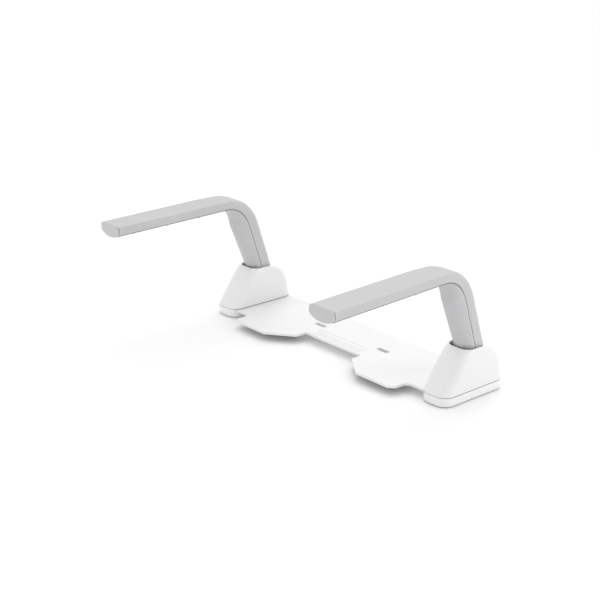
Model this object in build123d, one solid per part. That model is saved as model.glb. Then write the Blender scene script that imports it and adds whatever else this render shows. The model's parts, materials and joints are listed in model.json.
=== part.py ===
from build123d import *

import os
from math import atan2, cos, degrees, hypot, radians, sin, tan

# A pair of fold-up support arms for a toilet, on one mounting plate.  The plate is held down by the
# two bolts of the seat hinges.  Each end of the plate carries a housing, and in each housing an arm
# swings on a steel pin: forward on its stop for use, back and up for access.
#
# Millimetres.  The origin is midway between the two seat bolts, on the plate's top face.
# +Z is up, -Y is forward, the way the armrests point, and +X is to the seated user's left.
# Everything of one side is drawn on the +X side.  The other side is its mirror image in X = 0.

# ---------------------------------------------------------------- driving dimensions
# mounting plate
PLATE_T = 4.0
PLATE_BACK = 58.0
STRIP_FRONT = -41.5
LOBE_FRONT = -96.5
LOBE_INNER = 69.0
LOBE_OUTER = 196.0
SHOULDER_FRONT = -63.5
BOLT_SPACING = 155.0
SLOT_LENGTH = 26.8
SLOT_WIDTH = 9.0
BEAD_DEPTH = 0.5
PAD_T = 2.0
PAD_INSET = 3.0

# housings
HOUSING_X = 257.0
HOUSING_HALF = 28.0
HOUSING_FRONT = -72.0
HOUSING_BACK = 66.0
HOUSING_TOP = 66.5
WALL = 2.5
TRAY_H = 14.5
SEAM_GAP = 0.8
FOOT_T = 1.5
OPENING_HALF = 22.6
OPENING_FRONT = -19.0
OPENING_R = 17.0
FOLD_SLOT_BOTTOM = 18.0
# outline of the cover at rising heights: height, front, back, half width, corner radius
COVER_SECTIONS = (
    (SEAM_GAP, HOUSING_FRONT, HOUSING_BACK, HOUSING_HALF, 20.0),
    (14.0, -62.0, 62.0, 28.0, 17.5),
    (28.0, -51.5, 59.3, 28.0, 16.5),
    (42.0, -41.5, 54.3, 27.8, 16.0),
    (52.0, -34.8, 47.8, 27.4, 16.0),
    (60.0, -28.8, 38.3, 26.8, 16.5),
    (HOUSING_TOP, -21.5, 24.0, 25.4, 17.5),
)

# hinge: the pin runs along X
PIVOT_Y = 17.0
PIVOT_Z = 22.0
PIN_R = 6.0
PIN_HALF = 22.5
BUSH_R = 8.0
BUSH_FLANGE_R = 11.0
BUSH_FLANGE_T = 1.5
RUNNING_CLEARANCE = 0.03
EYE_R = 13.0
EYE_HALF = 13.0
CHEEK_IN = 16.5
STEEL_T = 3.0
CLIP_T = 1.0
CLIP_X = 19.8
FOLD_ANGLE = 75.0
STOP_GAP = 0.2
STOP_T = 4.0

# fasteners
BRACKET_SCREW_R = 3.0
BRACKET_SCREW_X = 8.0
BRACKET_SCREW_YS = (-38.0, 51.0)
BRACKET_NUT_AF = 10.0
BRACKET_NUT_H = 5.0
COVER_SCREW_R = 2.0
COVER_SCREW_X = 20.0
COVER_SCREW_YS = (-44.0, 48.0)
COVER_POST_R = 3.6
COVER_POST_H = 16.0

# arm
LEG_LEAN = 18.3
ARMREST_SLOPE = 1.15
SPLAY = 0.95
TIP_Y = -302.4
TIP_Z = 197.0
LEG_BACK_OFFSET = 21.9
BEND_R = 75.0
BEND_STEPS = 6
SOFTENING = 48.0
CLAD_START = 34.0
CLAD_WALL = 3.0
SHELL_GAP = 0.8
BELLY = 0.57
TUBE_W = 27.0
TUBE_D = 12.0
TUBE_WALL = 2.0
TUBE_BORE = (TUBE_W - 2 * TUBE_WALL - 0.1, TUBE_D - 2 * TUBE_WALL - 0.1)
TUBE_BEND_R = 55.0
TUBE_TOP = 9.1
CAP_T = 3.0
SHELL_SCREW_STATIONS = (36.0, 102.0, 168.0)
SHELL_SCREW_U = 16.7
SHELL_SEAT = 1.0
SHELL_SCREW_R = 1.5
SHELL_HEAD_R = 2.4
SHELL_HEAD_H = 1.0
SHELL_RECESS_R = 2.6
UPPER_BOSS_R = 2.4
LOWER_BOSS_R = 2.9
# section of the cladding: half width at the edge, reach of the side, half width at the seam,
# depth of the seam, whole depth, how far the side tucks in below the seam, and radius of the edge;
# the leg is deepest at its top, just under the bend
ARMREST_SECTION = (24.6, 26.6, 21.5, 15.4, 20.8, 0.28, 1.6)
LEG_SECTION = (19.4, 19.9, 20.0, 23.5, 39.5, 0.0, 14.0)
LEG_TOP_DEPTH = 47.0

LEG_UP = Vector(0, -sin(radians(LEG_LEAN)), cos(radians(LEG_LEAN)))
LEG_BACK = Vector(0, cos(radians(LEG_LEAN)), sin(radians(LEG_LEAN)))
ARMREST_BACK = Vector(0, cos(radians(ARMREST_SLOPE)), sin(radians(ARMREST_SLOPE)))
ARMREST_DOWN = Vector(0, sin(radians(ARMREST_SLOPE)), -cos(radians(ARMREST_SLOPE)))
PIVOT = Vector(0, PIVOT_Y, PIVOT_Z)
SIDE_X = Vector(1, 0, 0)


# ---------------------------------------------------------------- helpers
def block(x0, x1, y0, y1, z0, z1):
    """A box between two corners."""
    box = Box(x1 - x0, y1 - y0, z1 - z0, align=(Align.MIN, Align.MIN, Align.MIN))
    return Pos(x0, y0, z0) * box


def rod(radius, z0, z1, x=0.0, y=0.0):
    """An upright cylinder."""
    return Pos(x, y, z0) * Cylinder(radius, z1 - z0, align=(Align.CENTER, Align.CENTER, Align.MIN))


def axle(radius, x0, x1, y=PIVOT_Y, z=PIVOT_Z):
    """A cylinder that lies along X."""
    lying = Cylinder(radius, x1 - x0, align=(Align.CENTER, Align.CENTER, Align.MIN))
    return Pos(x0, y, z) * Rot(0, 90, 0) * lying


def side_plate(points, x0, x1):
    """A polygon in the YZ plane, thickened from x0 to x1."""
    face = make_face(Polyline(*[(0, y, z) for y, z in points], close=True))
    return Pos(x0, 0, 0) * extrude(face, amount=x1 - x0, dir=(1, 0, 0))


def lens_outline(x0, x1, y0, y1, radius):
    """A rounded rectangle between two corners."""
    sketch = RectangleRounded(x1 - x0, y1 - y0, radius)
    return Pos((x0 + x1) / 2, (y0 + y1) / 2) * sketch


def at_housing(shape):
    """Move what is drawn about a housing's own centre to the housing."""
    return Pos(HOUSING_X, 0, 0) * shape


def turn_out(shape):
    """Turn an arm outward about the upright line through its pivot."""
    return Pos(0, PIVOT_Y, 0) * Rot(0, 0, SPLAY) * Pos(0, -PIVOT_Y, 0) * shape


def at_arm(shape):
    """Turn a part of the arm outward and move it to its housing."""
    return at_housing(turn_out(shape))


# ---------------------------------------------------------------- plate and pads
def plate_outline():
    """The right-hand half of the plate's outline as corners with their radii, from the middle."""
    diagonal_start = SHOULDER_FRONT + 0.5
    return (
        ((LOBE_INNER, STRIP_FRONT), 3.0),
        ((LOBE_INNER + 0.5, diagonal_start), 5.0),
        ((115.0, LOBE_FRONT), 6.0),
        ((LOBE_OUTER, LOBE_FRONT), 14.0),
        ((LOBE_OUTER + 1.0, SHOULDER_FRONT), 11.0),
        ((HOUSING_X + HOUSING_HALF - WALL - 0.5, SHOULDER_FRONT), 17.0),
        ((HOUSING_X + HOUSING_HALF - WALL - 0.5, PLATE_BACK), 17.0),
    )


def half_plate():
    """One half of the plate, from X = 0 outward, without holes."""
    corners = plate_outline()
    points = [(0, PLATE_BACK), (0, STRIP_FRONT)] + [point for point, _ in corners]
    face = make_face(Polyline(*points, close=True))
    solid = Pos(0, 0, -PLATE_T) * extrude(face, amount=PLATE_T, dir=(0, 0, 1))
    for (x, y), radius in corners:
        upright = [
            edge
            for edge in solid.edges().filter_by(Axis.Z)
            if abs(edge.center().X - x) < 0.01 and abs(edge.center().Y - y) < 0.01
        ]
        solid = fillet(upright, radius)
    return solid


def bead(x_half, y0, y1):
    """A long shallow groove pressed into the plate's top, with round ends."""
    width = y1 - y0
    ring = SlotOverall(2 * x_half, width) - SlotOverall(2 * x_half - 4.4, width - 4.4)
    return Pos(0, (y0 + y1) / 2, -BEAD_DEPTH) * extrude(ring, amount=BEAD_DEPTH + 1, dir=(0, 0, 1))


def countersink(x, y):
    """A hole for a bracket screw, countersunk from below."""
    head = Cone(2 * BRACKET_SCREW_R, BRACKET_SCREW_R + 0.3, 2.7, align=(Align.CENTER, Align.CENTER, Align.MIN))
    return rod(BRACKET_SCREW_R + 0.3, -PLATE_T - 1, 1, x, y) + Pos(x, y, -PLATE_T) * head


def bracket_screw_places():
    """Where the four bracket screws stand about a housing's centre."""
    return [(sx * BRACKET_SCREW_X, y) for sx in (-1, 1) for y in BRACKET_SCREW_YS]


def cover_screw_places():
    """Where the four cover screws stand about a housing's centre."""
    return [(sx * COVER_SCREW_X, y) for sx in (-1, 1) for y in COVER_SCREW_YS]


def base_plate():
    """The one-piece plate with its lobes, bolt slots, beads and screw holes."""
    half = half_plate()
    holes = [Pos(BOLT_SPACING / 2, 0, -PLATE_T - 1)
             * extrude(SlotOverall(SLOT_LENGTH, SLOT_WIDTH), amount=PLATE_T + 2, dir=(0, 0, 1))]
    holes += [at_housing(countersink(x, y)) for x, y in bracket_screw_places()]
    holes += [at_housing(rod(COVER_SCREW_R + 0.3, -PLATE_T - 1, 1, x, y)) for x, y in cover_screw_places()]
    for hole in holes:
        half -= hole
    plate = half + half.mirror(Plane.YZ)
    plate -= bead(60.0, -26.5, -14.5)
    plate -= bead(56.0, -38.0, -30.0)
    return plate


def lobe_pad():
    """The anti-slip pad under one lobe, a little smaller than the lobe."""
    points = (
        (LOBE_INNER + PAD_INSET, SHOULDER_FRONT + 18),
        (LOBE_INNER + PAD_INSET, SHOULDER_FRONT),
        (114.0, LOBE_FRONT + PAD_INSET),
        (LOBE_OUTER - PAD_INSET, LOBE_FRONT + PAD_INSET),
        (LOBE_OUTER - PAD_INSET, SHOULDER_FRONT + 18),
    )
    pad = extrude(make_face(Polyline(*points, close=True)), amount=PAD_T, dir=(0, 0, 1))
    pad = fillet(pad.edges().filter_by(Axis.Z), 5.0)
    return Pos(0, 0, -PLATE_T - PAD_T) * pad


def rear_pad():
    """The anti-slip strip under the plate's rear edge, between the bolts."""
    strip = lens_outline(-56, 56, 24, PLATE_BACK - PAD_INSET, 6)
    return Pos(0, 0, -PLATE_T - PAD_T) * extrude(strip, amount=PAD_T, dir=(0, 0, 1))


# ---------------------------------------------------------------- housing
def cover_body(inset, foot):
    """The cover's outer form, or with an inset the hollow inside it, from the height of its foot up."""
    sections = [(foot,) + COVER_SECTIONS[0][1:]] + list(COVER_SECTIONS[1:-1])
    sections.append((HOUSING_TOP - inset,) + COVER_SECTIONS[-1][1:])
    faces = []
    for z, front, back, half, radius in sections:
        outline = lens_outline(-half + inset, half - inset, front + inset, back - inset, radius - inset)
        faces.append(Pos(0, 0, z) * outline)
    return loft(faces)


def leg_opening():
    """The opening in the cover: round in front of the leg, and open over the back for the fold."""
    round_front = lens_outline(
        -OPENING_HALF, OPENING_HALF, OPENING_FRONT, OPENING_FRONT + 4 * OPENING_R, OPENING_R
    )
    throat = Pos(0, 0, 50) * extrude(round_front, amount=40, dir=(0, 0, 1))
    rear_y = HOUSING_BACK + 10
    slot_start = PIVOT_Y
    slot = block(-OPENING_HALF, OPENING_HALF, slot_start, rear_y, FOLD_SLOT_BOTTOM, HOUSING_TOP + 10)
    slot = fillet(slot.edges().filter_by(Axis.Y).group_by(Axis.Z)[0], 6.0)
    return throat + slot


def housing_cover():
    """The thin moulded cover, with four screw posts, each tied to the side wall by a rib."""
    cover = cover_body(0, SEAM_GAP) - cover_body(WALL, SEAM_GAP - 0.5) - leg_opening()
    for x, y in cover_screw_places():
        side = 1 if x > 0 else -1
        rib_ends = sorted((x, x + side * 5.9))
        cover += rod(COVER_POST_R, SEAM_GAP, COVER_POST_H, x, y)
        cover += block(rib_ends[0], rib_ends[1], y - 1, y + 1, SEAM_GAP, COVER_POST_H)
    for x, y in cover_screw_places():
        cover -= rod(COVER_SCREW_R - 0.3, -1, COVER_POST_H - 2, x, y)
    return cover


def housing_tray():
    """The lower tray: floor, rim, four screw bosses and the notch that the plate passes through."""
    outline = lens_outline(-HOUSING_HALF, HOUSING_HALF, HOUSING_FRONT, HOUSING_BACK, 20)
    inner = lens_outline(-HOUSING_HALF + WALL, HOUSING_HALF - WALL, HOUSING_FRONT + WALL,
                         HOUSING_BACK - WALL, 20 - WALL)
    body = Pos(0, 0, -TRAY_H) * extrude(outline, amount=TRAY_H, dir=(0, 0, 1))
    body = fillet(body.faces().sort_by(Axis.Z)[0].edges(), 2.4)
    tray = body - Pos(0, 0, -TRAY_H + WALL) * extrude(inner, amount=TRAY_H, dir=(0, 0, 1))
    for x, y in cover_screw_places():
        tray += rod(6.0, -TRAY_H + WALL / 2, -PLATE_T, x, y)
    for x, y in cover_screw_places():
        tray -= rod(COVER_SCREW_R + 0.3, -TRAY_H - 1, 0, x, y)
        tray -= rod(2 * COVER_SCREW_R - 0.1, -TRAY_H - 1, -TRAY_H + 2.6, x, y)
    tray -= block(-60, -15, SHOULDER_FRONT - 0.3, PLATE_BACK + 0.3, -PLATE_T, 10)
    return tray


def foot_pads():
    """Two rubber feet under the tray."""
    pads = [lens_outline(-13, 13, -62, -22, 5), lens_outline(-13, 13, 20, 58, 5)]
    return Compound([Pos(0, 0, -TRAY_H - FOOT_T) * extrude(pad, amount=FOOT_T, dir=(0, 0, 1)) for pad in pads])


def cover_screws():
    """The screws that pull tray and cover together through the plate."""
    screws = []
    for x, y in cover_screw_places():
        head = rod(2 * COVER_SCREW_R - 0.2, -TRAY_H + 0.4, -TRAY_H + 2.6, x, y)
        recess = Pos(x, y, -TRAY_H) * extrude(RegularPolygon(1.4, 6), amount=1.4, dir=(0, 0, 1))
        shank = rod(COVER_SCREW_R - 0.3, -TRAY_H + 2.6, COVER_POST_H - 3, x, y)
        screws.append(head + shank - recess)
    return Compound(screws)


# ---------------------------------------------------------------- hinge
def stop_point(offset, along, folded):
    """A point beside the leg's axis: offset from the axis towards the stop, and along it from the pin."""
    if folded:
        turn = radians(LEG_LEAN - FOLD_ANGLE)
        up = Vector(0, -sin(turn), cos(turn))
        out = Vector(0, cos(turn), sin(turn))
    else:
        up = LEG_UP
        out = -LEG_BACK
    point = PIVOT + out * offset + up * along
    return (point.Y, point.Z)


def hinge_bracket():
    """The welded steel bracket: foot, two cheeks and the two webs that carry the stops."""
    foot = block(-CHEEK_IN - STEEL_T, CHEEK_IN + STEEL_T, -30, 44, 0, STEEL_T)
    foot += block(-14, 14, -46, 58, 0, STEEL_T)
    bracket = foot
    profile = ((-30, 0), (44, 0), (44, 8), (27, 24), (2, 29), (-30, 10))
    for x0 in (-CHEEK_IN - STEEL_T, CHEEK_IN):
        bracket += side_plate(profile, x0, x0 + STEEL_T) + axle(EYE_R, x0, x0 + STEEL_T)
    low = EYE_R + STOP_GAP + STOP_T
    front_web = ((-26, 1), (-3, 1), stop_point(low, 2, False), stop_point(low, 14, False))
    back_web = ((28.5, 1), (42, 1), stop_point(low, 18, True), stop_point(low, 6, True))
    for web in (front_web, back_web):
        bracket += side_plate(web, -CHEEK_IN - 0.5, CHEEK_IN + 0.5)
    bracket -= axle(PIN_R, -40, 40)
    for x, y in bracket_screw_places():
        bracket -= rod(BRACKET_SCREW_R + 0.3, -1, STEEL_T + 1, x, y)
    return bracket


def rubber_stop(along_0, along_1, folded):
    """A rubber block on a web: the leg's heel rests on it at the end of its swing."""
    low = EYE_R + STOP_GAP
    high = low + STOP_T
    corners = (
        stop_point(low, along_0, folded),
        stop_point(low, along_1, folded),
        stop_point(high, along_1, folded),
        stop_point(high, along_0, folded),
    )
    return side_plate(corners, -CHEEK_IN + 2.5, CHEEK_IN - 2.5)


def bracket_screws():
    """Countersunk screws, up through the plate and the bracket's foot."""
    screws = []
    for x, y in bracket_screw_places():
        head = Cone(2 * BRACKET_SCREW_R - 0.3, BRACKET_SCREW_R, 2.7,
                    align=(Align.CENTER, Align.CENTER, Align.MIN))
        recess = Pos(x, y, -PLATE_T) * extrude(RegularPolygon(2.1, 6), amount=2, dir=(0, 0, 1))
        screws.append(Pos(x, y, -PLATE_T) * head + rod(BRACKET_SCREW_R, -PLATE_T + 1, 10, x, y) - recess)
    return Compound(screws)


def bracket_nuts():
    """Hexagon nuts on the bracket screws."""
    nuts = []
    for x, y in bracket_screw_places():
        hexagon = RegularPolygon(BRACKET_NUT_AF / 2, 6, major_radius=False)
        nut = Pos(x, y, STEEL_T) * extrude(hexagon, amount=BRACKET_NUT_H, dir=(0, 0, 1))
        nuts.append(nut - rod(BRACKET_SCREW_R, 0, 20, x, y))
    return Compound(nuts)


def pivot_pin():
    """The pin, with a groove near each end for its clip."""
    pin = axle(PIN_R, -PIN_HALF, PIN_HALF)
    pin = chamfer(pin.edges().filter_by(GeomType.CIRCLE), 0.8)
    for x in (-CLIP_X - CLIP_T, CLIP_X):
        pin -= axle(PIN_R + 1, x, x + CLIP_T) - axle(PIN_R - 0.6, x, x + CLIP_T)
    return pin


def circlips():
    """The two clips that keep the pin in the cheeks."""
    clips = []
    for x in (-CLIP_X - CLIP_T, CLIP_X):
        clip = axle(PIN_R + 2.4, x, x + CLIP_T) - axle(PIN_R - 0.6, x, x + CLIP_T)
        clips.append(clip - block(x - 1, x + 3, PIVOT_Y - 2.2, PIVOT_Y + 2.2, PIVOT_Z, PIVOT_Z + 20))
    return Compound(clips)


def friction_washers():
    """The disc springs between cheek and bush, which give the arm its firm swing."""
    washers = []
    for x in (-CHEEK_IN, EYE_HALF + BUSH_FLANGE_T + 0.1):
        thick = CHEEK_IN - EYE_HALF - BUSH_FLANGE_T - 0.1
        washers.append(axle(BUSH_FLANGE_R - 0.5, x, x + thick) - axle(PIN_R + 0.2, x, x + thick))
    return Compound(washers)


# ---------------------------------------------------------------- arm
def leg_line(t):
    """A point on the leg's axis, t above the pin."""
    return PIVOT + LEG_UP * t


def crossing(point_a, dir_a, point_b, dir_b):
    """Where two lines in the YZ plane cross."""
    det = dir_a.Y * -dir_b.Z + dir_b.Y * dir_a.Z
    gap = point_b - point_a
    return point_a + dir_a * ((gap.Y * -dir_b.Z + dir_b.Y * gap.Z) / det)


TIP = Vector(0, TIP_Y, TIP_Z)
LEG_REAR = leg_line(CLAD_START) + LEG_BACK * LEG_BACK_OFFSET
TOP_CORNER = crossing(TIP, ARMREST_BACK, LEG_REAR, LEG_UP)
BEND_TURN = 90.0 - LEG_LEAN + ARMREST_SLOPE
TANGENT = BEND_R * tan(radians(BEND_TURN / 2))
ARMREST_LENGTH = (TOP_CORNER - TIP).length - TANGENT
BEND_LENGTH = BEND_R * radians(BEND_TURN)
LEG_LENGTH = (TOP_CORNER - LEG_REAR).length - TANGENT
ARM_LENGTH = ARMREST_LENGTH + BEND_LENGTH + LEG_LENGTH


def arm_plane(s):
    """The section plane at length s from the tip along the arm's top and rear line.

    Its x runs across the arm, its y runs into the arm's depth, its z along the arm.
    """
    if s < ARMREST_LENGTH:
        point = TIP + ARMREST_BACK * s
        turned = 0.0
    elif s < ARMREST_LENGTH + BEND_LENGTH:
        turned = degrees((s - ARMREST_LENGTH) / BEND_R)
        centre = TIP + ARMREST_BACK * ARMREST_LENGTH + ARMREST_DOWN * BEND_R
        swing = radians(turned - ARMREST_SLOPE)
        point = centre + Vector(0, sin(swing), cos(swing)) * BEND_R
    else:
        point = LEG_REAR + LEG_UP * (ARM_LENGTH - s)
        turned = BEND_TURN
    heading = radians(ARMREST_SLOPE - turned)
    return Plane(origin=point, x_dir=SIDE_X, z_dir=(0, cos(heading), sin(heading)))


def eased(s, start, end):
    """A smooth rise from 0 at length start to 1 at length end."""
    t = min(max((s - start) / (end - start), 0.0), 1.0)
    return t * t * (3 - 2 * t)


def section_at(s):
    """The cladding's section sizes at length s. The edge softens from a little before the bend."""
    ease = eased(s, ARMREST_LENGTH, ARMREST_LENGTH + BEND_LENGTH)
    sizes = [a + (b - a) * ease for a, b in zip(ARMREST_SECTION, LEG_SECTION)]
    soft = eased(s, ARMREST_LENGTH - SOFTENING, ARMREST_LENGTH + 0.75 * BEND_LENGTH)
    sizes[-1] = ARMREST_SECTION[-1] + (LEG_SECTION[-1] - ARMREST_SECTION[-1]) * soft
    down = max(s - ARMREST_LENGTH - BEND_LENGTH, 0.0) / LEG_LENGTH
    swelling = eased(s, ARMREST_LENGTH, ARMREST_LENGTH + 0.8 * BEND_LENGTH)
    sizes[4] = ARMREST_SECTION[4] + (LEG_TOP_DEPTH - ARMREST_SECTION[4]) * swelling
    sizes[4] -= (LEG_TOP_DEPTH - LEG_SECTION[4]) * down
    return sizes


def roof_curves(s, inset):
    """The curves above the seam, from one side over the flat top to the other."""
    edge, reach, half, seam, _, _, radius = section_at(s)
    edge -= inset
    reach -= inset
    half -= inset
    radius = max(radius - inset, 0.5)
    corner = inset + radius
    rise = seam - corner
    side = ((half, seam), (reach, seam - 0.22 * rise), (reach, corner + 0.38 * rise), (edge, corner))
    turn = ((edge, corner), (edge, inset), (edge - radius, inset))
    top = Line((edge - radius, inset), (radius - edge, inset))
    left_turn = [(-x, y) for x, y in reversed(turn)]
    left_side = [(-x, y) for x, y in reversed(side)]
    return [Bezier(*side), Bezier(*turn), top, Bezier(*left_turn), Bezier(*left_side)]


def belly_curves(s, inset, gap):
    """The curves below the seam: one full convex belly in two halves."""
    _, _, half, seam, depth, tuck, _ = section_at(s)
    seam += gap
    half -= inset
    depth -= inset
    left = (
        (-half, seam),
        (-half * (1 - tuck), seam + BELLY * (depth - seam)),
        (-half * (BELLY - 0.5 * tuck), depth),
        (0, depth),
    )
    right = [(-x, y) for x, y in reversed(left)]
    return [Bezier(*left), Bezier(*right)]


def channel(s, outer, inner):
    """The section of an open shell: outer and inner curves, joined at the two free edges."""
    ends = [Line(outer[0] @ 0, inner[0] @ 0), Line(outer[-1] @ 1, inner[-1] @ 1)]
    return arm_plane(s) * make_face(outer + inner + ends)


def upper_section(s):
    """The upper shell's wall."""
    return channel(s, roof_curves(s, 0), roof_curves(s, CLAD_WALL))


def lower_section(s):
    """The lower shell's wall, clear of the upper shell by the seam's gap."""
    return channel(s, belly_curves(s, 0, SHELL_GAP), belly_curves(s, CLAD_WALL, SHELL_GAP))


def belly_section(s):
    """The whole space below the seam, a little inside the lower shell's face."""
    _, _, half, seam, _, _, _ = section_at(s)
    closing = Line((half - 0.5, seam + SHELL_GAP), (0.5 - half, seam + SHELL_GAP))
    return arm_plane(s) * make_face(belly_curves(s, 0.5, SHELL_GAP) + [closing])


def full_section(s):
    """The whole section in one outline, as the end cap has it."""
    return arm_plane(s) * make_face(roof_curves(s, 0) + belly_curves(s, 0, 0))


def armrest_run(section, start):
    """A section drawn out along the straight armrest, as far as its edge stays sharp."""
    return extrude(section(start), amount=ARMREST_LENGTH - SOFTENING - start, dir=ARMREST_BACK)


def bend_and_leg(section):
    """A section carried through the softening edge and the bend, and down the straight leg."""
    lead_stations = [ARMREST_LENGTH - SOFTENING * (1 - i / 3) for i in range(4)]
    bend_stations = [ARMREST_LENGTH + BEND_LENGTH * i / BEND_STEPS for i in range(BEND_STEPS + 1)]
    lead = loft([section(s) for s in lead_stations])
    bend = loft([section(s) for s in bend_stations])
    leg = loft([section(bend_stations[-1]), section(ARM_LENGTH)], ruled=True)
    return lead + bend + leg


def shell_screw_places():
    """Section planes and sideways places of the shell screws."""
    return [(arm_plane(s), sx * SHELL_SCREW_U) for s in SHELL_SCREW_STATIONS for sx in (-1, 1)]


def depth_rod(plane, radius, across, depth_0, depth_1):
    """A cylinder that runs into the arm's depth at a section plane."""
    cylinder = Cylinder(radius, depth_1 - depth_0, align=(Align.CENTER, Align.CENTER, Align.MIN))
    return plane.location * Pos(across, depth_0, 0) * Rot(-90, 0, 0) * cylinder


def upper_shell():
    """The light grey top shell, from the end cap over the bend and down the back of the leg."""
    seam = ARMREST_SECTION[3]
    shell = armrest_run(upper_section, CAP_T + SHELL_GAP)
    for plane, across in shell_screw_places():
        shell += depth_rod(plane, UPPER_BOSS_R, across, CLAD_WALL / 2, seam)
        shell -= depth_rod(plane, SHELL_SCREW_R, across, 5, seam + 1)
    return shell + bend_and_leg(upper_section)


def lower_shell():
    """The darker underside shell, from the end cap under the bend and down the front of the leg."""
    start = CAP_T + SHELL_GAP
    seam = ARMREST_SECTION[3] + SHELL_GAP
    shell = armrest_run(lower_section, start)
    body = armrest_run(belly_section, start)
    for plane, across in shell_screw_places():
        shell += depth_rod(plane, LOWER_BOSS_R, across, seam, ARMREST_SECTION[4]) & body
        shell -= depth_rod(plane, SHELL_SCREW_R + 0.2, across, 5, 40)
        shell -= depth_rod(plane, SHELL_RECESS_R, across, seam + SHELL_SEAT, 40)
    return shell + bend_and_leg(lower_section)


def shell_screws():
    """The screws that close the two shells, in their recesses in the underside."""
    seat = ARMREST_SECTION[3] + SHELL_GAP + SHELL_SEAT
    screws = []
    for plane, across in shell_screw_places():
        head = depth_rod(plane, SHELL_HEAD_R, across, seat, seat + SHELL_HEAD_H)
        shank = depth_rod(plane, SHELL_SCREW_R, across, 6, seat)
        screws.append(head + shank)
    return Compound(screws)


def tube_face(width, depth):
    """A flat oval."""
    return SlotOverall(width, depth)


def tube_route():
    """The tube's centre line: along the armrest, round the bend and down to the knuckle."""
    top_start = TIP + ARMREST_DOWN * TUBE_TOP
    corner = crossing(top_start, ARMREST_BACK, PIVOT, LEG_UP)
    start = top_start + ARMREST_BACK * (CAP_T + 5)
    end = leg_line(CLAD_START - 3)
    return start, corner, end


def arm_tube():
    """The bent steel tube that carries the load."""
    start, corner, end = tube_route()
    path = FilletPolyline(start, corner, end, radius=TUBE_BEND_R)
    plane = Plane(origin=start, x_dir=SIDE_X, z_dir=ARMREST_BACK)
    outer = sweep(plane * tube_face(TUBE_W, TUBE_D), path=path)
    inner = sweep(plane * tube_face(TUBE_W - 2 * TUBE_WALL, TUBE_D - 2 * TUBE_WALL), path=path)
    return outer - inner


def arm_knuckle():
    """The cast knuckle: an eye on the pin, a neck with stop faces, and a spigot in the tube."""
    plane = Plane(origin=leg_line(0), x_dir=SIDE_X, z_dir=LEG_UP)
    neck = plane * Box(2 * EYE_HALF - 1, 2 * EYE_R, CLAD_START - 3.6,
                       align=(Align.CENTER, Align.CENTER, Align.MIN))
    spigot_plane = Plane(origin=leg_line(CLAD_START - 5), x_dir=SIDE_X, z_dir=LEG_UP)
    spigot = extrude(spigot_plane * tube_face(*TUBE_BORE), amount=44)
    knuckle = axle(EYE_R, -EYE_HALF, EYE_HALF) + neck + turn_out(spigot)
    return knuckle - axle(BUSH_R, -40, 40)


def pivot_bushes():
    """Two flanged bushes, pressed into the knuckle's eye from both sides."""
    bushes = []
    for sign in (-1, 1):
        inner = 0.5
        outer = EYE_HALF + BUSH_FLANGE_T
        sleeve = axle(BUSH_R, *sorted((sign * inner, sign * EYE_HALF)))
        flange = axle(BUSH_FLANGE_R, *sorted((sign * EYE_HALF, sign * outer)))
        bushes.append(sleeve + flange - axle(PIN_R + RUNNING_CLEARANCE, -40, 40))
    return Compound(bushes)


def end_cap():
    """The plug in the armrest's end: a flush plate and a stem in the tube."""
    plate = extrude(full_section(0.0), amount=CAP_T, dir=ARMREST_BACK)
    front = plate.faces().sort_by(Axis.Y)[0]
    plate = fillet(front.edges(), 1.1)
    start, _, _ = tube_route()
    stem_plane = Plane(origin=start, x_dir=SIDE_X, z_dir=ARMREST_BACK)
    collar = extrude(stem_plane * tube_face(TUBE_W, TUBE_D), amount=-5.5)
    stem = extrude(stem_plane * tube_face(*TUBE_BORE), amount=18)
    return plate + collar + stem


# ---------------------------------------------------------------- write the parts
SIDE_PARTS = {
    "lobe_pad": lobe_pad(),
    "housing_cover": at_housing(housing_cover()),
    "housing_tray": at_housing(housing_tray()),
    "foot_pads": at_housing(foot_pads()),
    "cover_screws": at_housing(cover_screws()),
    "hinge_bracket": at_housing(hinge_bracket()),
    "bracket_screws": at_housing(bracket_screws()),
    "bracket_nuts": at_housing(bracket_nuts()),
    "down_stop": at_housing(rubber_stop(3, 13, False)),
    "up_stop": at_housing(rubber_stop(7, 17, True)),
    "pivot_pin": at_housing(pivot_pin()),
    "circlips": at_housing(circlips()),
    "friction_washers": at_housing(friction_washers()),
    "pivot_bushes": at_housing(pivot_bushes()),
    "arm_knuckle": at_housing(arm_knuckle()),
    "arm_tube": at_arm(arm_tube()),
    "upper_shell": at_arm(upper_shell()),
    "lower_shell": at_arm(lower_shell()),
    "shell_screws": at_arm(shell_screws()),
    "end_cap": at_arm(end_cap()),
}

os.makedirs("parts", exist_ok=True)
export_step(base_plate(), "parts/base_plate.step")
export_step(rear_pad(), "parts/rear_pad.step")
for name, shape in SIDE_PARTS.items():
    export_step(shape, f"parts/left_{name}.step")
    export_step(shape.mirror(Plane.YZ), f"parts/right_{name}.step")
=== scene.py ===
import json
from math import acos, cos, degrees, pi, radians, sin, tan

import bmesh
import bpy
from mathutils import Matrix, Vector


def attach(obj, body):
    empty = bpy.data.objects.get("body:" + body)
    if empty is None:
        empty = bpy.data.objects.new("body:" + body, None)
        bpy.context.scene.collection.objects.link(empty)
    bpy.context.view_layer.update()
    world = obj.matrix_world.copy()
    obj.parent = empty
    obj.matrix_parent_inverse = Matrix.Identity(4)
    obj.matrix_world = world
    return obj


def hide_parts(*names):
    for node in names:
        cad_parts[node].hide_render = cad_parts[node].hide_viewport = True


# The looks of a pair of fold-up toilet support arms on one plate.  Lengths are in millimetres up to
# the point where a mesh is made, and the frame is the CAD model's: +Z up, -Y forward.
# The pieces of the +X side are drawn, and the other side gets their mirror image in X = 0.

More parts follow.
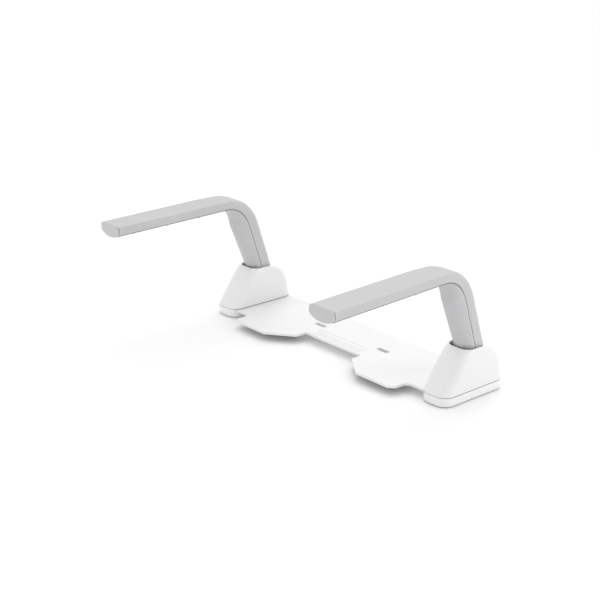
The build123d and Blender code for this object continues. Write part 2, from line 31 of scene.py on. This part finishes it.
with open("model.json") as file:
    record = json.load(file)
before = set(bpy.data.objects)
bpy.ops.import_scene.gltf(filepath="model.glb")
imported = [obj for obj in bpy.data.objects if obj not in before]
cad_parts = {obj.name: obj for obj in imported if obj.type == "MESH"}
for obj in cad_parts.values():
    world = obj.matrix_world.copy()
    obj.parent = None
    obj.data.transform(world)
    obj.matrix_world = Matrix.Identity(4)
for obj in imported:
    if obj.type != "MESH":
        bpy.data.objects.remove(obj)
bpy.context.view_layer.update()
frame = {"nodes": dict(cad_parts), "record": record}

MM = 0.001

# ---------------------------------------------------------------- sizes shared with the CAD model
HOUSING_X = 257.0
PIVOT_Y = 17.0
PIVOT_Z = 22.0
SPLAY = 0.95
FLOOR_Z = -16.0

# arm
LEG_LEAN = 18.3
ARMREST_SLOPE = 1.15
TIP = Vector((0, -302.4, 197.0))
LEG_BACK_OFFSET = 21.9
BEND_R = 75.0
SOFTENING = 48.0
CLAD_START = 34.0
CLAD_WALL = 3.0
SHELL_GAP = 0.8
CAP_T = 3.0
CAP_FACE = 0.6
CAP_ROLL = 1.2
BELLY = 0.57
SHELL_SCREW_STATIONS = (36.0, 102.0, 168.0)
SHELL_SCREW_U = 16.7
RECESS_R = 2.6
RECESS_SEAT = 1.0
RECESS_END = 30.0
# section of the cladding: half width at the edge, reach of the side, half width at the seam,
# depth of the seam, whole depth, how far the side tucks in below the seam, and radius of the edge
ARMREST_SECTION = (24.6, 26.6, 21.5, 15.4, 20.8, 0.28, 1.6)
LEG_SECTION = (19.4, 19.9, 20.0, 23.5, 39.5, 0.0, 14.0)
LEG_TOP_DEPTH = 47.0

# housing cover: height, front, back, half width and corner radius of its outline
COVER_SECTIONS = (
    (0.8, -72.0, 66.0, 28.0, 20.0),
    (14.0, -62.0, 62.0, 28.0, 17.5),
    (28.0, -51.5, 59.3, 28.0, 16.5),
    (42.0, -41.5, 54.3, 27.8, 16.0),
    (52.0, -34.8, 47.8, 27.4, 16.0),
    (60.0, -28.8, 38.3, 26.8, 16.5),
    (66.5, -21.5, 24.0, 25.4, 17.5),
)
COVER_HEIGHTS = (0.8, 1.8, 4, 8, 11, 14, 18, 22, 25, 28, 32, 37, 42, 47, 52, 56, 60, 63, 65, 66.5)
COVER_WALL = 2.5
SLOT_HALF = 22.6
SLOT_BOTTOM = 18.0


# ---------------------------------------------------------------- curves and meshes
def bezier(points, steps):
    """Points along a Bezier curve of any degree, both ends included."""
    found = []
    for i in range(steps + 1):
        t = i / steps
        level = [Vector(p) for p in points]
        while len(level) > 1:
            level = [a.lerp(b, t) for a, b in zip(level, level[1:])]
        found.append(level[0])
    return found


def joined(*runs):
    """Runs of points end to end, without the repeated point at each join."""
    chain = list(runs[0])
    for run in runs[1:]:
        chain += run[1:]
    return chain


def mesh_piece(name, points, faces):
    """A new object from points in millimetres, in the row frame."""
    mesh = bpy.data.meshes.new(name)
    mesh.from_pydata([Vector(p) * MM for p in points], [], faces)
    mesh.update()
    piece = bpy.data.objects.new(name, mesh)
    bpy.context.scene.collection.objects.link(piece)
    tidy_normals(piece)
    return piece


def tidy_normals(piece):
    """Weld double points and turn every face outward."""
    bm = bmesh.new()
    bm.from_mesh(piece.data)
    bmesh.ops.remove_doubles(bm, verts=bm.verts, dist=1e-6)
    bmesh.ops.recalc_face_normals(bm, faces=bm.faces)
    bm.to_mesh(piece.data)
    bm.free()


def apply_modifiers(piece):
    """Make the modifiers' result the piece's own mesh."""
    graph = bpy.context.evaluated_depsgraph_get()
    result = bpy.data.meshes.new_from_object(piece.evaluated_get(graph))
    piece.modifiers.clear()
    piece.data = result


def round_edges(piece, width, segments=3, angle=40.0):
    """Round the piece's sharp edges and shade it smooth."""
    bevel = piece.modifiers.new("edges", "BEVEL")
    bevel.width = width * MM
    bevel.segments = segments
    bevel.limit_method = "ANGLE"
    bevel.angle_limit = radians(angle)
    bevel.miter_outer = "MITER_ARC"
    apply_modifiers(piece)
    for polygon in piece.data.polygons:
        polygon.use_smooth = True
    normals = piece.modifiers.new("normals", "WEIGHTED_NORMAL")
    normals.keep_sharp = True
    normals.weight = 80


def mirrored(piece, name):
    """The same piece for the other side, mirrored in X = 0."""
    twin = piece.copy()
    twin.data = piece.data.copy()
    twin.name = name
    twin.data.name = name
    bpy.context.scene.collection.objects.link(twin)
    twin.data.transform(Matrix.Scale(-1, 4, Vector((1, 0, 0))))
    twin.data.flip_normals()
    return twin


def ring_strip(rings, closed):
    """Quads between neighbouring rings of equal length."""
    count = len(rings[0])
    faces = []
    for r in range(len(rings) - 1):
        for i in range(count if closed else count - 1):
            j = (i + 1) % count
            a = r * count
            b = a + count
            faces.append((a + i, a + j, b + j, b + i))
    return faces


# ---------------------------------------------------------------- arm
ARMREST_BACK = Vector((0, cos(radians(ARMREST_SLOPE)), sin(radians(ARMREST_SLOPE))))
ARMREST_DOWN = Vector((0, sin(radians(ARMREST_SLOPE)), -cos(radians(ARMREST_SLOPE))))
LEG_UP = Vector((0, -sin(radians(LEG_LEAN)), cos(radians(LEG_LEAN))))
LEG_BACK = Vector((0, cos(radians(LEG_LEAN)), sin(radians(LEG_LEAN))))
PIVOT = Vector((0, PIVOT_Y, PIVOT_Z))
LEG_REAR = PIVOT + LEG_UP * CLAD_START + LEG_BACK * LEG_BACK_OFFSET
BEND_TURN = 90.0 - LEG_LEAN + ARMREST_SLOPE


def crossing(point_a, dir_a, point_b, dir_b):
    """Where two lines in the YZ plane cross."""
    det = dir_a.y * -dir_b.z + dir_b.y * dir_a.z
    gap = point_b - point_a
    return point_a + dir_a * ((gap.y * -dir_b.z + dir_b.y * gap.z) / det)


TOP_CORNER = crossing(TIP, ARMREST_BACK, LEG_REAR, LEG_UP)
TANGENT = BEND_R * tan(radians(BEND_TURN / 2))
ARMREST_LENGTH = (TOP_CORNER - TIP).length - TANGENT
BEND_LENGTH = BEND_R * radians(BEND_TURN)
LEG_LENGTH = (TOP_CORNER - LEG_REAR).length - TANGENT
ARM_LENGTH = ARMREST_LENGTH + BEND_LENGTH + LEG_LENGTH


def arm_place(s, across, depth):
    """A point of the arm: at length s from the tip, sideways, and into the arm's depth."""
    if s < ARMREST_LENGTH:
        point = TIP + ARMREST_BACK * s
        turned = 0.0
    elif s < ARMREST_LENGTH + BEND_LENGTH:
        turned = degrees((s - ARMREST_LENGTH) / BEND_R)
        centre = TIP + ARMREST_BACK * ARMREST_LENGTH + ARMREST_DOWN * BEND_R
        swing = radians(turned - ARMREST_SLOPE)
        point = centre + Vector((0, sin(swing), cos(swing))) * BEND_R
    else:
        point = LEG_REAR + LEG_UP * (ARM_LENGTH - s)
        turned = BEND_TURN
    heading = radians(ARMREST_SLOPE - turned)
    return point + Vector((across, depth * sin(heading), -depth * cos(heading)))


def turn_out(point):
    """Turn a point of the arm outward about the pivot's upright line, and move it to its housing."""
    x = point.x
    y = point.y - PIVOT_Y
    turn = radians(SPLAY)
    turned_x = x * cos(turn) - y * sin(turn)
    turned_y = x * sin(turn) + y * cos(turn)
    return Vector((HOUSING_X + turned_x, PIVOT_Y + turned_y, point.z))


def eased(s, start, end):
    """A smooth rise from 0 at length start to 1 at length end."""
    t = min(max((s - start) / (end - start), 0.0), 1.0)
    return t * t * (3 - 2 * t)


def section_at(s):
    """The cladding's section sizes at length s.

    The edge softens from a little before the bend, and the leg is deepest just under the bend.
    """
    ease = eased(s, ARMREST_LENGTH, ARMREST_LENGTH + BEND_LENGTH)
    sizes = [a + (b - a) * ease for a, b in zip(ARMREST_SECTION, LEG_SECTION)]
    soft = eased(s, ARMREST_LENGTH - SOFTENING, ARMREST_LENGTH + 0.75 * BEND_LENGTH)
    sizes[-1] = ARMREST_SECTION[-1] + (LEG_SECTION[-1] - ARMREST_SECTION[-1]) * soft
    down = max(s - ARMREST_LENGTH - BEND_LENGTH, 0.0) / LEG_LENGTH
    swelling = eased(s, ARMREST_LENGTH, ARMREST_LENGTH + 0.8 * BEND_LENGTH)
    sizes[4] = ARMREST_SECTION[4] + (LEG_TOP_DEPTH - ARMREST_SECTION[4]) * swelling
    sizes[4] -= (LEG_TOP_DEPTH - LEG_SECTION[4]) * down
    return sizes


def roof_points(s, inset):
    """The section above the seam, from the +X side over the flat top to the -X side."""
    edge, reach, half, seam, _, _, radius = section_at(s)
    edge -= inset
    reach -= inset
    half -= inset
    radius = max(radius - inset, 0.5)
    corner = inset + radius
    rise = seam - corner
    low_bulge = (reach, seam - 0.22 * rise)
    high_bulge = (reach, corner + 0.38 * rise)
    side = bezier([(half, seam), low_bulge, high_bulge, (edge, corner)], 12)
    turn = bezier([(edge, corner), (edge, inset), (edge - radius, inset)], 8)
    top = bezier([(edge - radius, inset), (radius - edge, inset)], 12)
    right = joined(side, turn)
    left = [Vector((-p.x, p.y)) for p in reversed(right)]
    return joined(right, top, left)


def belly_points(s, inset, gap):
    """The section below the seam, from the -X side under the belly to the +X side."""
    _, _, half, seam, depth, tuck, _ = section_at(s)
    seam += gap
    half -= inset
    depth -= inset
    drop = seam + BELLY * (depth - seam)
    turn_in = half * (BELLY - 0.5 * tuck)
    left = bezier([(-half, seam), (-half * (1 - tuck), drop), (-turn_in, depth), (0, depth)], 14)
    right = [Vector((-p.x, p.y)) for p in reversed(left)]
    return joined(left, right)


def arm_stations():
    """Lengths at which the arm's section is drawn: close together round the bend."""
    start = CAP_T + SHELL_GAP
    straight = [start + (ARMREST_LENGTH - start) * i / 24 for i in range(24)]
    bend = [ARMREST_LENGTH + BEND_LENGTH * i / 36 for i in range(36)]
    leg = [ARM_LENGTH - LEG_LENGTH * (1 - i / 10) for i in range(11)]
    return straight + bend + leg


def arm_shell(name, outline, gap):
    """One moulded shell of the arm, with its wall thickness and slightly rounded free edges."""
    rings = []
    for s in arm_stations():
        outer = outline(s, 0, *gap)
        inner = outline(s, CLAD_WALL, *gap)
        rings.append([turn_out(arm_place(s, p.x, p.y)) for p in outer + inner[::-1]])
    count = len(rings[0])
    half = count // 2
    faces = ring_strip(rings, True)
    last = (len(rings) - 1) * count
    for i in range(half - 1):
        pair = (i, i + 1, count - 2 - i, count - 1 - i)
        faces.append(pair)
        faces.append(tuple(last + k for k in pair))
    piece = mesh_piece(name, [p for ring in rings for p in ring], faces)
    round_edges(piece, 0.35, 2, 55.0)
    return piece


def lower_shell(name):
    """The underside shell, with the recesses its screws sit in."""
    piece = arm_shell(name, belly_points, (SHELL_GAP,))
    seat = ARMREST_SECTION[3] + SHELL_GAP + RECESS_SEAT
    sides = 20
    for s in SHELL_SCREW_STATIONS:
        for across in (-SHELL_SCREW_U, SHELL_SCREW_U):
            rings = []
            for depth in (seat, RECESS_END):
                spokes = [2 * pi * i / sides for i in range(sides)]
                rings.append([turn_out(arm_place(s + RECESS_R * sin(a), across + RECESS_R * cos(a), depth))
                              for a in spokes])
            faces = ring_strip(rings, True) + [tuple(range(sides)), tuple(range(sides, 2 * sides))]
            cutter = mesh_piece("recess", rings[0] + rings[1], faces)
            cut = piece.modifiers.new("recess", "BOOLEAN")
            cut.operation = "DIFFERENCE"
            cut.solver = "EXACT"
            cut.object = cutter
            apply_modifiers(piece)
            bpy.data.objects.remove(cutter)
    return piece


def drawn_in(loop, distance):
    """The armrest's outline drawn in toward its middle by a distance at the sides, top and bottom."""
    across = 1 - distance / ARMREST_SECTION[1]
    middle = 0.5 * ARMREST_SECTION[4]
    upright = 1 - distance / middle
    return [Vector((p.x * across, middle + (p.y - middle) * upright)) for p in loop]


def end_cap(name):
    """The plug in the armrest's tip: rounded all round its front, with a slightly crowned face."""
    outline = joined(roof_points(0, 0), belly_points(0, 0, 0))[:-1]
    middle = Vector((0, 0.5 * ARMREST_SECTION[4]))
    rings = [[arm_place(CAP_T, p.x, p.y) for p in outline]]
    for i in range(7):
        angle = 0.5 * pi * i / 6
        loop = drawn_in(outline, CAP_ROLL * (1 - cos(angle)))
        rings.append([arm_place(CAP_ROLL * (1 - sin(angle)) + CAP_FACE, p.x, p.y) for p in loop])
    flat = drawn_in(outline, CAP_ROLL)
    for share, crown in ((0.85, 0.2), (0.6, 0.42), (0.3, 0.55)):
        loop = [middle.lerp(p, share) for p in flat]
        rings.append([arm_place(CAP_FACE - crown, p.x, p.y) for p in loop])
    count = len(outline)
    faces = ring_strip(rings, True)
    points = [p for ring in rings for p in ring]
    points += [arm_place(0.0, middle.x, middle.y), arm_place(CAP_T, middle.x, middle.y)]
    last = (len(rings) - 1) * count
    for i in range(count):
        j = (i + 1) % count
        faces.append((last + i, last + j, len(points) - 2))
        faces.append((j, i, len(points) - 1))
    piece = mesh_piece(name, [turn_out(p) for p in points], faces)
    round_edges(piece, 0.25, 2, 70.0)
    return piece


# ---------------------------------------------------------------- housing
def cover_row(z):
    """The cover's outline sizes at a height, on a smooth curve through the stated outlines."""
    rows = COVER_SECTIONS
    k = max(i for i in range(len(rows) - 1) if rows[i][0] <= z)
    low = rows[max(k - 1, 0)]
    a, b = rows[k], rows[k + 1]
    high = rows[min(k + 2, len(rows) - 1)]
    span = b[0] - a[0]
    t = (z - a[0]) / span
    sizes = []
    for i in range(1, 5):
        slope_a = (b[i] - low[i]) / (b[0] - low[0]) * span
        slope_b = (high[i] - a[i]) / (high[0] - a[0]) * span
        sizes.append((2 * t**3 - 3 * t**2 + 1) * a[i] + (t**3 - 2 * t**2 + t) * slope_a
                     + (3 * t**2 - 2 * t**3) * b[i] + (t**3 - t**2) * slope_b)
    return sizes


def arc_points(cx, cy, radius, start, end, steps):
    """Points along an arc, angles in radians."""
    return [Vector((cx + radius * cos(start + (end - start) * i / steps),
                    cy + radius * sin(start + (end - start) * i / steps))) for i in range(steps + 1)]


def line_points(a, b, steps):
    """Evenly spaced points along a line."""
    return [Vector(a).lerp(Vector(b), i / steps) for i in range(steps + 1)]


def cover_outline(z):
    """The cover's outline at a height, split where the fold slot's sides cut it.

    It starts at the slot's +X side, runs round the front to the -X side, then across the rear.
    """
    front, back, half, radius = cover_row(z)
    cx = half - radius
    slot_angle = acos((SLOT_HALF - cx) / radius)
    rear = back - radius
    nose = front + radius
    right = joined(
        arc_points(cx, rear, radius, slot_angle, 0, 7),
        line_points((half, rear), (half, nose), 12),
        arc_points(cx, nose, radius, 0, -pi / 2, 14),
        line_points((cx, front), (0, front), 4),
    )
    left = [Vector((-p.x, p.y)) for p in reversed(right)]
    rear_left = arc_points(-cx, rear, radius, pi - slot_angle, pi / 2, 7)
    rear_right = [Vector((-p.x, p.y)) for p in reversed(rear_left)]
    rear_run = joined(rear_left, line_points((-cx, back), (cx, back), 8), rear_right)
    return joined(right, left), rear_run


def housing_cover(name):
    """The moulded cover: a thin wall with a rolled rim, open over the leg and behind it."""
    rings = []
    for z in COVER_HEIGHTS:
        main, rear = cover_outline(z)
        loop = joined(main, rear)[:-1]
        rings.append([Vector((HOUSING_X + p.x, p.y, z)) for p in loop])
    main_count = len(main)
    count = len(rings[0])
    faces = []
    for face in ring_strip(rings, True):
        level = min(face) // count
        place = min(v % count for v in face)
        is_rear = place >= main_count - 1 or {v % count for v in face} == {0, count - 1}
        if is_rear and COVER_HEIGHTS[level] >= SLOT_BOTTOM:
            continue
        faces.append(face)
    piece = mesh_piece(name, [p for ring in rings for p in ring], faces)
    point_outward(piece)
    solid = piece.modifiers.new("wall", "SOLIDIFY")
    solid.thickness = COVER_WALL * MM
    solid.offset = -1
    solid.use_even_offset = True
    apply_modifiers(piece)
    round_edges(piece, 0.9, 4, 50.0)
    return piece


def point_outward(piece):
    """Turn an open sheet's faces away from the housing's centre line."""
    centre = Vector((HOUSING_X * MM, 0, 0.03))
    total = sum((polygon.center - centre).dot(polygon.normal) for polygon in piece.data.polygons)
    if total < 0:
        piece.data.flip_normals()


def refined(node, width, segments=3, angle=40.0):
    """A CAD node's shape with its flat faces merged and its sharp edges rounded."""
    piece = frame["nodes"][node].copy()
    piece.data = piece.data.copy()
    piece.parent = None
    piece.name = node + "_moulded"
    for key in list(piece.keys()):
        del piece[key]
    bpy.context.scene.collection.objects.link(piece)
    bm = bmesh.new()
    bm.from_mesh(piece.data)
    bmesh.ops.remove_doubles(bm, verts=bm.verts, dist=1e-6)
    bmesh.ops.dissolve_limit(bm, angle_limit=radians(0.5), verts=bm.verts, edges=bm.edges)
    bm.to_mesh(piece.data)
    bm.free()
    round_edges(piece, width, segments, angle)
    return piece


# ---------------------------------------------------------------- materials
# How far the painted crevice shade looks for close surfaces, in millimetres.
CREVICE_REACH = 3.0


class Paint:
    """A material's node tree, with short ways to add and join nodes."""

    def __init__(self, name):
        self.material = bpy.data.materials.new(name)
        self.material.use_nodes = True
        self.tree = self.material.node_tree
        self.shader = self.tree.nodes["Principled BSDF"]
        self.place = self.tree.nodes.new("ShaderNodeTexCoord").outputs["Object"]

    def node(self, kind, **settings):
        made = self.tree.nodes.new(kind)
        for key, value in settings.items():
            setattr(made, key, value)
        return made

    def join(self, output, node_input):
        self.tree.links.new(output, node_input)

    def noise(self, scale, detail=3.0, stretch=(1, 1, 1)):
        """A noise value, with scale in cycles per metre."""
        mapping = self.node("ShaderNodeMapping")
        mapping.inputs["Scale"].default_value = stretch
        self.join(self.place, mapping.inputs["Vector"])
        noise = self.node("ShaderNodeTexNoise")
        noise.inputs["Scale"].default_value = scale
        noise.inputs["Detail"].default_value = detail
        self.join(mapping.outputs["Vector"], noise.inputs["Vector"])
        return noise.outputs["Fac"]

    def ranged(self, value, low, high, from_low=0.3, from_high=0.7):
        """A value mapped from one range to another."""
        mapper = self.node("ShaderNodeMapRange")
        mapper.inputs["From Min"].default_value = from_low
        mapper.inputs["From Max"].default_value = from_high
        mapper.inputs["To Min"].default_value = low
        mapper.inputs["To Max"].default_value = high
        self.join(value, mapper.inputs["Value"])
        return mapper.outputs["Result"]

    def blend(self, factor, first, second):
        """A colour between two others; each is a colour or a node's output."""
        mix = self.node("ShaderNodeMix", data_type="RGBA")
        self.join(factor, mix.inputs["Factor"])
        colours = [s for s in mix.inputs if s.type == "RGBA"]
        for socket, value in zip(colours, (first, second)):
            if isinstance(value, tuple):
                socket.default_value = value + (1,)
            else:
                self.join(value, socket)
        return [s for s in mix.outputs if s.type == "RGBA"][0]

    def bump(self, height, distance, strength=1.0):
        """Surface relief from a height value, with its distance in millimetres."""
        bump = self.node("ShaderNodeBump")
        bump.inputs["Distance"].default_value = distance * MM
        bump.inputs["Strength"].default_value = strength
        self.join(height, bump.inputs["Height"])
        self.join(bump.outputs["Normal"], self.shader.inputs["Normal"])
        return bump

    def edges(self, low=0.505, high=0.54):
        """Where the surface is a convex edge, from 0 to 1."""
        geometry = self.node("ShaderNodeNewGeometry")
        return self.ranged(geometry.outputs["Pointiness"], 0, 1, low, high)

    def crevices(self, low, high):
        """Where surfaces close by shut a spot in, from 0 to 1 between two degrees of shelter: the mask for
        painted shade.
        """
        shelter = self.node("ShaderNodeAmbientOcclusion", samples=8)
        shelter.inputs["Distance"].default_value = CREVICE_REACH * MM
        return self.ranged(shelter.outputs["AO"], 1, 0, 1 - high, 1 - low)


def scaled(colour, factor):
    """A lighter or darker colour."""
    return tuple(min(c * factor, 1.0) for c in colour)


def moulded(name, colour, rough, grain, spread=0.03):
    """Moulded plastic: faint mottling, a fine spark-eroded grain, slightly polished edges, and painted shade
    darkening its seams and crevices.
    """
    paint = Paint(name)
    mottling = paint.ranged(paint.noise(9.0), 0, 1)
    body = paint.blend(mottling, scaled(colour, 1 - spread), scaled(colour, 1 + spread))
    worn = paint.blend(paint.edges(), body, scaled(colour, 1.06))
    # Painted shade: the colour goes nearly black where close surfaces shut a spot in, in seams and crevices.
    painted_crevice_shade = paint.blend(paint.crevices(0.25, 0.85), worn, scaled(colour, 0.14))
    paint.join(painted_crevice_shade, paint.shader.inputs["Base Color"])
    paint.join(paint.ranged(paint.noise(60.0), rough - 0.04, rough + 0.04), paint.shader.inputs["Roughness"])
    paint.shader.inputs["Specular IOR Level"].default_value = 0.5
    paint.bump(paint.noise(1500.0, 2.0), grain, 0.5)
    return paint.material


def powder_coat(name, colour):
    """Powder-coated steel: a soft orange-peel relief and fine speckle."""
    paint = Paint(name)
    mottling = paint.ranged(paint.noise(14.0), 0, 1)
    body = paint.blend(mottling, scaled(colour, 0.975), scaled(colour, 1.02))
    speckle = paint.ranged(paint.noise(900.0, 1.0), 0, 0.25, 0.62, 0.75)
    flecked = paint.blend(speckle, body, scaled(colour, 0.9))
    # Painted shade: the colour goes nearly black where close surfaces shut a spot in, in seams and crevices.
    painted_crevice_shade = paint.blend(paint.crevices(0.55, 0.9), flecked, scaled(colour, 0.12))
    paint.join(painted_crevice_shade, paint.shader.inputs["Base Color"])
    paint.join(paint.ranged(paint.noise(220.0), 0.36, 0.46), paint.shader.inputs["Roughness"])
    paint.bump(paint.noise(420.0, 2.0), 0.035, 0.6)
    return paint.material


def rubber(name, colour):
    """Rubber: matt, finely grained, a little dusty."""
    paint = Paint(name)
    dust = paint.ranged(paint.noise(45.0, 5.0), 0, 0.5, 0.45, 0.8)
    paint.join(paint.blend(dust, colour, scaled(colour, 2.2)), paint.shader.inputs["Base Color"])
    paint.join(paint.ranged(paint.noise(300.0), 0.72, 0.9), paint.shader.inputs["Roughness"])
    paint.shader.inputs["Specular IOR Level"].default_value = 0.35
    paint.bump(paint.noise(1200.0, 2.0), 0.05, 0.7)
    return paint.material


def metal(name, colour, rough, stretch, relief):
    """Bare metal: drawn or cast grain, with darker traces of oxide."""
    paint = Paint(name)
    oxide = paint.ranged(paint.noise(80.0, 6.0), 0, 0.6, 0.5, 0.75)
    paint.join(paint.blend(oxide, colour, scaled(colour, 0.7)), paint.shader.inputs["Base Color"])
    paint.shader.inputs["Metallic"].default_value = 1.0
    grain = paint.noise(500.0, 4.0, stretch)
    paint.join(paint.ranged(grain, rough - 0.08, rough + 0.1), paint.shader.inputs["Roughness"])
    paint.bump(grain, relief, 0.5)
    return paint.material


MATERIALS = {
    "coated_steel": powder_coat("coated_steel", (0.80, 0.80, 0.80)),
    "white_plastic": moulded("white_plastic", (0.80, 0.80, 0.80), 0.34, 0.010, spread=0.01),
    "arm_top_plastic": moulded("arm_top_plastic", (0.50, 0.503, 0.51), 0.42, 0.020),
    "arm_under_plastic": moulded("arm_under_plastic", (0.50, 0.503, 0.51), 0.44, 0.022),
    "end_cap_plastic": moulded("end_cap_plastic", (0.52, 0.523, 0.53), 0.42, 0.020),
    "bush_plastic": moulded("bush_plastic", (0.05, 0.05, 0.052), 0.5, 0.010),
    "black_steel": powder_coat("black_steel", (0.02, 0.02, 0.02)),
    "cast_alloy": metal("cast_alloy", (0.50, 0.50, 0.51), 0.48, (1, 1, 1), 0.08),
    "pin_steel": metal("pin_steel", (0.56, 0.56, 0.57), 0.24, (0.05, 1, 1), 0.004),
    "spring_steel": metal("spring_steel", (0.16, 0.16, 0.17), 0.36, (1, 1, 1), 0.01),
    "screw_steel": metal("screw_steel", (0.58, 0.58, 0.56), 0.3, (1, 1, 0.1), 0.006),
    "pad_rubber": rubber("pad_rubber", (0.035, 0.035, 0.037)),
    "stop_rubber": rubber("stop_rubber", (0.015, 0.015, 0.016)),
}


def dress(piece, slot):
    """Give a piece one material, in place of what it had."""
    piece.data.materials.clear()
    piece.data.materials.append(MATERIALS[slot])
    for polygon in piece.data.polygons:
        polygon.material_index = 0


# ---------------------------------------------------------------- put the pieces in the frame
def place(piece, body, slot, node):
    """One finished piece in place of one CAD node."""
    dress(piece, slot)
    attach(piece, body)
    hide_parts(node)


for entry in frame["record"]["subparts"]:
    dress(frame["nodes"][entry["node"]], entry["material_slot"])

DRAWN = (
    ("upper_shell", arm_shell("left_upper_cladding", roof_points, ()), "arm", "arm_top_plastic"),
    ("lower_shell", lower_shell("left_lower_cladding"), "arm", "arm_under_plastic"),
    ("end_cap", end_cap("left_tip_cap"), "arm", "end_cap_plastic"),
    ("housing_cover", housing_cover("left_cover_moulding"), "base", "white_plastic"),
)
for node, piece, owner, slot in DRAWN:
    twin = mirrored(piece, piece.name.replace("left", "right"))
    for side, shape in (("left", piece), ("right", twin)):
        body = "base" if owner == "base" else f"{side}_arm"
        place(shape, body, slot, f"{side}_{node}")

place(refined("base_plate", 0.2, 2), "base", "coated_steel", "base_plate")
for side in ("left", "right"):
    place(refined(f"{side}_housing_tray", 0.4, 2), "base", "white_plastic", f"{side}_housing_tray")
    place(refined(f"{side}_lobe_pad", 0.4, 2), "base", "pad_rubber", f"{side}_lobe_pad")


# ---------------------------------------------------------------- floor, light and camera
def studio_floor():
    """A wide, plain, nearly white floor."""
    size = 30.0
    z = FLOOR_Z * MM
    mesh = bpy.data.meshes.new("floor")
    corners = [(-size, -size, z), (size, -size, z), (size, size, z), (-size, size, z)]
    mesh.from_pydata(corners, [], [(0, 1, 2, 3)])
    floor = bpy.data.objects.new("floor", mesh)
    bpy.context.scene.collection.objects.link(floor)
    paint = Paint("floor")
    paint.shader.inputs["Base Color"].default_value = (0.80, 0.80, 0.80, 1)
    paint.shader.inputs["Roughness"].default_value = 0.9
    paint.shader.inputs["Specular IOR Level"].default_value = 0.0
    paint.shader.inputs["Emission Color"].default_value = (1, 1, 1, 1)
    paint.shader.inputs["Emission Strength"].default_value = 0.13
    mesh.materials.append(paint.material)


def softbox(name, position, target, size, energy):
    """A square soft light that faces a point."""
    light = bpy.data.lights.new(name, "AREA")
    light.shape = "RECTANGLE"
    light.size = size[0]
    light.size_y = size[1]
    light.energy = energy
    lamp = bpy.data.objects.new(name, light)
    lamp.location = position
    facing = Vector(position) - Vector(target)
    lamp.rotation_mode = "QUATERNION"
    lamp.rotation_quaternion = facing.to_track_quat("Z", "Y")
    bpy.context.scene.collection.objects.link(lamp)


def soft_sun(name, position, strength, spread):
    """An even light from one side of the sky, with soft shadows."""
    light = bpy.data.lights.new(name, "SUN")
    light.energy = strength
    light.angle = radians(spread)
    lamp = bpy.data.objects.new(name, light)
    lamp.rotation_mode = "QUATERNION"
    lamp.rotation_quaternion = Vector(position).to_track_quat("Z", "Y")
    bpy.context.scene.collection.objects.link(lamp)


def studio_light():
    """A bright even surround, a soft sun from behind, a fill in front and a small light by one leg."""
    world = bpy.data.worlds.new("surround")
    bpy.context.scene.world = world
    world.use_nodes = True
    background = world.node_tree.nodes["Background"]
    background.inputs["Color"].default_value = (1, 1, 1, 1)
    background.inputs["Strength"].default_value = 0.86
    soft_sun("overhead", (-0.45, 0.5, 1.0), 0.9, 60)
    softbox("front_fill", (-0.9, -1.9, 0.8), (0.0, 0.0, 0.1), (1.2, 1.2), 3.4)
    softbox("beside_leg", (1.3, 0.5, 0.55), (0.28, 0.0, 0.1), (0.7, 0.7), 3.2)


def studio_camera():
    """The camera, on a long lens, to the front and to the seated user's left."""
    azimuth = radians(49.336)
    elevation = radians(19.778)
    back = Vector((sin(azimuth) * cos(elevation), -cos(azimuth) * cos(elevation), sin(elevation)))
    camera = bpy.data.cameras.new("camera")
    camera.lens = 79.32
    camera.sensor_width = 36.0
    camera.clip_end = 60.0
    holder = bpy.data.objects.new("camera", camera)
    holder.location = (1.52136, -1.42098, 0.81500)
    holder.rotation_mode = "QUATERNION"
    holder.rotation_quaternion = back.to_track_quat("Z", "Y")
    bpy.context.scene.collection.objects.link(holder)
    bpy.context.scene.camera = holder


studio_floor()
studio_light()
studio_camera()
bpy.context.scene.view_settings.view_transform = "Standard"
